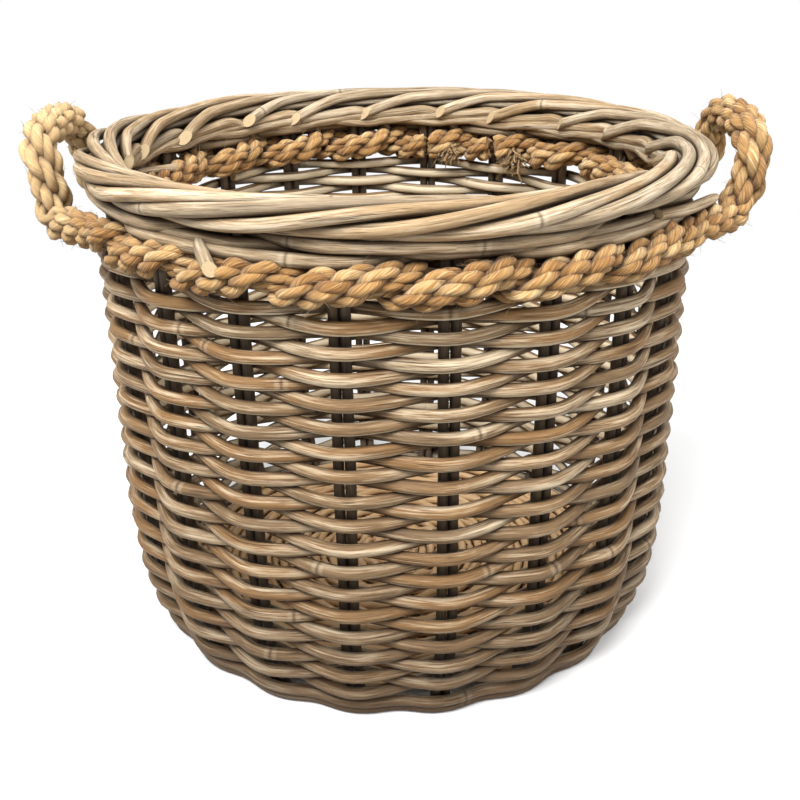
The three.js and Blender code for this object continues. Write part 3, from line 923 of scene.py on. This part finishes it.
def yarn_rings(middle, level, width, height, radius, run, seed):
    """Rings of one yarn, a little uneven and pressed where the rope is."""
    angle = 2 * np.pi * np.arange(YARN_SIDES) / YARN_SIDES
    _, first, second = directions(middle, level)
    thick = YARN_THICK * radius * (1 + 0.13 * wander(run, seed + 20, 8.0))
    rough = 1 + 0.09 * np.sin(3 * angle[None, :] + 0.35 * run[:, None] + seed)
    high = np.cos(angle)[None, :] * (thick * height**0.5)[:, None] * rough
    wide = np.sin(angle)[None, :] * (thick * width**0.5)[:, None] * rough
    return middle[:, None] + first[:, None] * high[..., None] + second[:, None] * wide[..., None]


def rope_yarns(centre, width, height, radius, run):
    """The rings and the middle line of all nine yarns."""
    yarns = []
    for number in range(9):
        middle, level = yarn_line(centre, width, height, radius, run, number // 3, number % 3)
        yarns.append((yarn_rings(middle, level, width, height, radius, run, 900 + number), middle))
    return yarns


print("a yarn shows every", round(1 / (1 / LAY + 1 / YARN_LAY)), "mm along its strand")

# %% [markdown]
# ## Coir
# Coir is the husk fibre of the coconut, spun dry into yarn: golden brown, dull and hairy. Its
# fibres twist round each yarn, so the streaks turn once in 34 mm. Real fibres are 0.2 mm thick, too
# fine to show, so the finest streaks are 0.35 mm. Grooves between yarns are painted dark brown as
# painted shade, by their depth in the rope and by occlusion. Hands bleach the loops.

# %% Coir material
SPIN = 34.0
YARN_RADIUS = 3.8
GROOVE = 6.0
TONE_SHIFT = 0.16

coir = bpy.data.materials.new("coir_rope")
tree = new_tree(coir)
metres, circle, tone = skin_of(tree, 1000 / SPIN)
rope_noise = {"rough": 0.65, "jump": 29.0}
coarse = streaks(tree, circle, tone, YARN_RADIUS, wide=1.1, long=16.0, seed=3.0, detail=2.0, **rope_noise)
fine = streaks(tree, circle, tone, YARN_RADIUS, wide=0.35, long=9.0, seed=8.0, **rope_noise)
fibres = weigh(tree, -TONE_SHIFT / 2, (coarse, 0.45), (fine, 0.55), (tone, TONE_SHIFT))
HUSK = [(0.34, "#5a391c"), (0.44, "#a37542"), (0.54, "#c99d62"), (0.65, "#efd9aa")]
colour = add(tree, "ValToRGB", {"Fac": fibres}, stops=HUSK)
worn = add(tree, "Attribute", output="Fac", attribute_name="worn")
worn = add(tree, "Math", {0: worn, 1: 0.42}, operation="MULTIPLY")
deep = add(tree, "Attribute", output="Fac", attribute_name="deep")
deep = add(tree, "Math", {0: deep, 1: 0.8}, operation="MULTIPLY")
# Painted shade: the grooves between yarns are darkened by their depth in the rope and by ambient
# occlusion.
near = add(tree, "AmbientOcclusion", {"Distance": GROOVE * MM}, "AO", samples=6)
near = add(tree, "ValToRGB", {"Fac": near}, stops=[(0.3, 0.9), (0.8, 0.0)])
painted_groove_shade = add(tree, "Math", {0: deep, 1: near}, operation="MAXIMUM")
for share, over in ((worn, "#f0d5a2"), (painted_groove_shade, "#4f3117")):
    colour = add(tree, "Mix", {0: share, 6: colour, 7: linear(over)}, **MIX)
bump = add(tree, "Bump", {"Height": fibres, "Strength": 1.0, "Distance": 2.0 * MM})
surface = {"Base Color": colour, "Normal": bump, "Roughness": 0.85, "IOR": 1.45,
           "Specular IOR Level": 0.2, "Sheen Weight": 0.15}
add(tree, "OutputMaterial", {"Surface": add(tree, "BsdfPrincipled", surface)})
print("coir fibres turn once in", SPIN, "mm")

# %% [markdown]
# ## Loose fibres
# Coir rope is never smooth. Short fibres stand off it, bent and pointing both ways. Each grows
# from a random spot of a yarn, and only where the yarn is on the outside of the rope.

# %% Rope fibres
FIBRES_PER_RING = 4.5


def make_fibres(name, yarns, centre, radius, start, end, seed, body):
    r = np.random.default_rng(seed)
    pieces = Pieces()
    t = np.linspace(0, 1, 5)[:, None]
    for _ in range(int((end - start) * FIBRES_PER_RING)):
        rings, line = yarns[r.integers(9)]
        i = int(r.integers(start, end))
        root = rings[i, int(r.integers(YARN_SIDES))]
        out = unit(root - centre[i])
        if (root - centre[i]) @ out < 0.7 * radius[i]:
            continue
        flow = unit(line[min(i + 1, len(line) - 1)] - line[i - 1])
        lean = unit(flow * r.choice([-1, 1]) + out * r.uniform(0.25, 1.1) + r.normal(0, 0.3, 3))
        size = r.uniform(3, 12) * (0.5 + 0.5 * r.random())
        bend = unit(r.normal(0, 1, 3)) * r.uniform(0.1, 0.5)
        path = root - out * 0.4 + lean * size * t + bend * size * t**2
        rings = tube_rings(path, np.linspace(0.2, 0.08, 5), 3, out + 0.01)
        pieces.add(rings, tone=r.uniform(0.3, 1.0), worn=1.0)
    return make(pieces, name, coir, body)


print("fibres for each ring:", FIBRES_PER_RING, "before those inside are left out")

# %% [markdown]
# ## The foot of a loop
# The rope bends softly out of the band into the loop. Each half loop has its placing baked into its mesh.


def blend_foot(piece):
    """Bakes the placing of a half loop into its mesh."""
    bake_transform(piece)


# %% [markdown]
# ## One rope in four pieces
# Each rope is cut where its loop begins, at the loop's top and where it ends. A point near the
# middle of the rope is deep, and is painted dark brown as shade in the grooves. The left loop is worn
# paler.

# %% Rope pieces
RING_STEP = 1.9
LOOP_WEAR = {True: 0.1, False: 1.0}
WEAR_FADE = 60.0
DEEPEST = 0.45
DEEP_OVER = 0.42


def spread_rope(outside, first, last, right):
    """The rope in even steps, with the numbers of the rings where its loop begins and ends."""
    centre, width, height, radius, loop_start, loop_end = rope_line(outside, first, last, right)
    run = run_of(centre)
    even = np.arange(0, run[-1], RING_STEP)
    centre = np.stack([np.interp(even, run, centre[:, c]) for c in range(3)], 1)
    width, height, radius = (np.interp(even, run, values) for values in (width, height, radius))
    return centre, width, height, radius, even, np.searchsorted(even, run[[loop_start, loop_end - 1]])


def make_rope(letter, outside, first, last, right, nodes, handle):
    centre, width, height, radius, even, (a, b) = spread_rope(outside, first, last, right)
    yarns = rope_yarns(centre, width, height, radius, even)
    bare = np.clip((even - even[a]) / WEAR_FADE, 0, 1) * np.clip((even[b] - even) / WEAR_FADE, 0, 1)
    worn = bare * bare * (3 - 2 * bare) * LOOP_WEAR[right]
    cuts = [0, a, (a + b) // 2, b, len(even) - 1]
    for number, node in enumerate((nodes[0], handle, handle, nodes[1])):
        span = slice(cuts[number], cuts[number + 1] + 1)
        pieces = Pieces()
        for count, (rings, line) in enumerate(yarns):
            # Depth in the rope, which the coir paints as shade in the grooves.
            reach = np.linalg.norm(rings[span] - centre[span][:, None], axis=2)
            deep = 1 - np.clip((reach / radius[span][:, None] - DEEPEST) / DEEP_OVER, 0, 1)
            tone = 0.15 + 0.7 * ((count * 4) % 9) / 8
            pieces.add(rings[span], tone=tone, deep=deep, worn=worn[span], offset=even[span][0] * MM)
        body = None if node == handle else "basket"
        name = f"rope_{letter}_{number + 1}"
        seed = 800 + number + (50 if right else 0)
        rope = make(pieces, name, coir, body, [node])
        between = cuts[number : number + 2]
        fibres = make_fibres(name + "_fibres", yarns, centre, radius, *between, seed, body)
        if node == handle:
            blend_foot(rope)
            blend_foot(fibres)
    print("rope", letter, "length", round(even[-1]), "mm")


print("rings every", RING_STEP, "mm")

# %% [markdown]
# ## Which run is outside
# The two runs take turns: where one is outside a stake the other is inside. Behind each loop the
# run that makes it is away from the ring, and its pattern starts again on the other side.

# %% Ropes
def a_outside(k):
    k = (k - 6) % STAKES + 6
    if 13 <= k <= 16:
        return False
    return (k - 23) % 2 == 0 if k > 16 else (k - 6) % 2 == 0


def b_outside(k):
    k = k % STAKES
    if 3 <= k <= 6:
        return False
    if k < 3:
        return (k + STAKES - 16) % 2 == 0
    return (k - 13) % 2 == 0 if k < 16 else (k - 16) % 2 == 0


A_NODES = ("rope_a_round", "rope_a_tail")
B_NODES = ("rope_b_start", "rope_b_round")
make_rope("a", a_outside, 9.02, (23.12, 5.88, 8.95), True, A_NODES, "handle_right")
make_rope("b", b_outside, 8.02, (13.12, 15.88, 27.93), False, B_NODES, "handle_left")

# %% [markdown]
# ## Cut rod ends
# Three rods end in plain sight, on a slanted cut: one at the front left that lies over the rope,
# one inside on the left, and one on the right under the border. They are short, so each is laid
# through three points.

# %% Rod ends
ROD_ENDS = (
    ([around(-0.575, 229, 372), around(-0.53, 241, 369), around(-0.475, 252, 363)], 4.6),
    ([np.array([-216, 8, 366]), np.array([-212, 32, 366]), np.array([-199, 58, 363])], 4.0),
    ([around(0.86, 236, 374), around(1.0, 242, 372), around(1.14, 245, 369)], 4.2),
)
ends = Pieces()
for number, (points, rod) in enumerate(ROD_ENDS):
    path = smooth_line(points, 12)
    rings = tube_rings(path, rod, 16)
    slant_cut(rings, path, np.array([-0.2, -0.9, 0.5]))
    ends.add(rings, tone=0.3 + 0.25 * number)
make(ends, "cut_rod_ends", kubu_pale)
print("cut rod ends:", len(ROD_ENDS))

# %% [markdown]
# ## Frayed rope ends
# Both ropes end inside at the back. The yarns open there, splay out and hang down. Sixty hairs are
# thick, as bundles of fibres, and the rest are thin.

# %% Frayed rope ends
TUFT_HAIRS = 190
TUFT_BUNDLES = 60
TUFT_RADIUS = 207.0


def make_tuft(name, place, size, seed):
    r = np.random.default_rng(seed)
    pieces = Pieces()
    inward = around(angle_of(place), -1.0, 0.0)
    tangent = around(angle_of(place) + math.pi / 2, 1.0, 0.0)
    root = around(angle_of(place), TUFT_RADIUS, ROPE_MIDDLE - 5)
    t = np.linspace(0, 1, 7)[:, None]
    for number in range(TUFT_HAIRS):
        thick = r.uniform(0.9, 2.0) if number < TUFT_BUNDLES else r.uniform(0.12, 0.3)
        start = root + tangent * r.normal(0, 4.5) + UP * r.normal(0, 3.0) + inward * r.normal(0, 2)
        out = unit(inward * r.uniform(0.2, 1.0) - UP * r.uniform(0.1, 1.1) + tangent * r.normal(0, 0.55))
        bend = unit(r.normal(0, 1, 3)) * r.uniform(0.1, 0.45)
        reach = size * r.uniform(0.5, 1.0)
        path = start + out * reach * t + bend * reach * t**2
        rings = tube_rings(path, thick * np.linspace(1, 0.35, 7), 5, out + 0.02)
        pieces.add(rings, tone=r.uniform(0.3, 1.0), worn=0.3)
    make(pieces, name, coir)


make_tuft("frayed_end_small", 8.62, 12.0, 41)
make_tuft("frayed_end_large", 7.60, 17.0, 42)
print("hairs in a tuft:", TUFT_HAIRS)

# %% [markdown]
# ## Floor
# The photograph has a white surround. The floor is matt white and takes the basket's faint shadow.
# Further out it turns into a plain white glow, so that no horizon shows. The light that bounces
# off it finds a dull grey, so that the undersides of the rods stay dark.

# %% Floor
FLOOR_PLAIN = 0.55
FLOOR_GLOW = 1.1
FLOOR_REACH = 12.0
FLOOR_DROP = 0.0004


def seen_directly(tree):
    """One for what is looked at, also in a mirror or through glass. Zero for the light it bounces."""
    rays = add(tree, "LightPath").node.outputs
    seen = 0.0
    for ray in ("Is Camera Ray", "Is Glossy Ray", "Is Transmission Ray"):
        seen = add(tree, "Math", {0: rays[ray], 1: seen}, operation="ADD")
    return seen


floor_paint = bpy.data.materials.new("white_floor")
tree = new_tree(floor_paint)
white = add(tree, "BsdfPrincipled", {"Base Color": linear("#f7f7f7"), "Roughness": 0.9})
dull = add(tree, "BsdfDiffuse", {"Color": linear("#57544e")})
matt = add(tree, "MixShader", {0: seen_directly(tree), 1: dull, 2: white})
away = add(tree, "VectorMath", {0: add(tree, "TexCoord", output="Object")}, "Value", operation="LENGTH")
far = add(tree, "MapRange", {"Value": away, "From Min": FLOOR_PLAIN, "From Max": FLOOR_GLOW})
glow = add(tree, "Emission", {"Color": linear("#ffffff"), "Strength": 1.0})
add(tree, "OutputMaterial", {"Surface": add(tree, "MixShader", {0: far, 1: matt, 2: glow})})
mesh = bpy.data.meshes.new("floor")
signs = ((-1, -1), (1, -1), (1, 1), (-1, 1))
corners = [(x * FLOOR_REACH, y * FLOOR_REACH, -FLOOR_DROP) for x, y in signs]
mesh.from_pydata(corners, [], [(0, 1, 2, 3)])
mesh.materials.append(floor_paint)
floor = into_scene("floor", mesh)
print("floor glows from", FLOOR_GLOW, "m on")

# %% [markdown]
# ## Studio light
# Soft light comes from all sides and more from above, from a world that grows brighter towards the
# top. The camera sees that world as plain white. A large lamp above the front left draws the
# shadows between the rods, and a weak one on the right keeps them open.

# %% Studio
HORIZON = 0.12
ZENITH = 1.4

world = bpy.data.worlds.new("studio")
bpy.context.scene.world = world
tree = new_tree(world)
height = add(tree, "SeparateXYZ", {0: add(tree, "TexCoord", output="Generated")}, "Z")
strength = {"Value": height, "From Min": -0.1, "From Max": 1.0, "To Min": HORIZON, "To Max": ZENITH}
soft = add(tree, "Background", {"Color": linear("#ffffff"), "Strength": add(tree, "MapRange", strength)})
white = add(tree, "Background", {"Color": linear("#ffffff"), "Strength": 1.0})
both = add(tree, "MixShader", {0: seen_directly(tree), 1: soft, 2: white})
add(tree, "OutputWorld", {"Surface": both})


def make_lamp(name, place, size, power):
    light = bpy.data.lights.new(name, "AREA")
    light.shape = "DISK"
    light.size = size
    light.energy = power
    lamp = into_scene(name, light)
    lamp.location = place
    lamp.rotation_euler = (Vector((0, 0, 0.25)) - Vector(place)).to_track_quat("-Z", "Y").to_euler()
    print(name, power, "W")


make_lamp("key_light", (-0.6, -1.3, 2.2), 1.3, 82)
make_lamp("fill_light", (1.6, -1.4, 1.3), 1.4, 14)
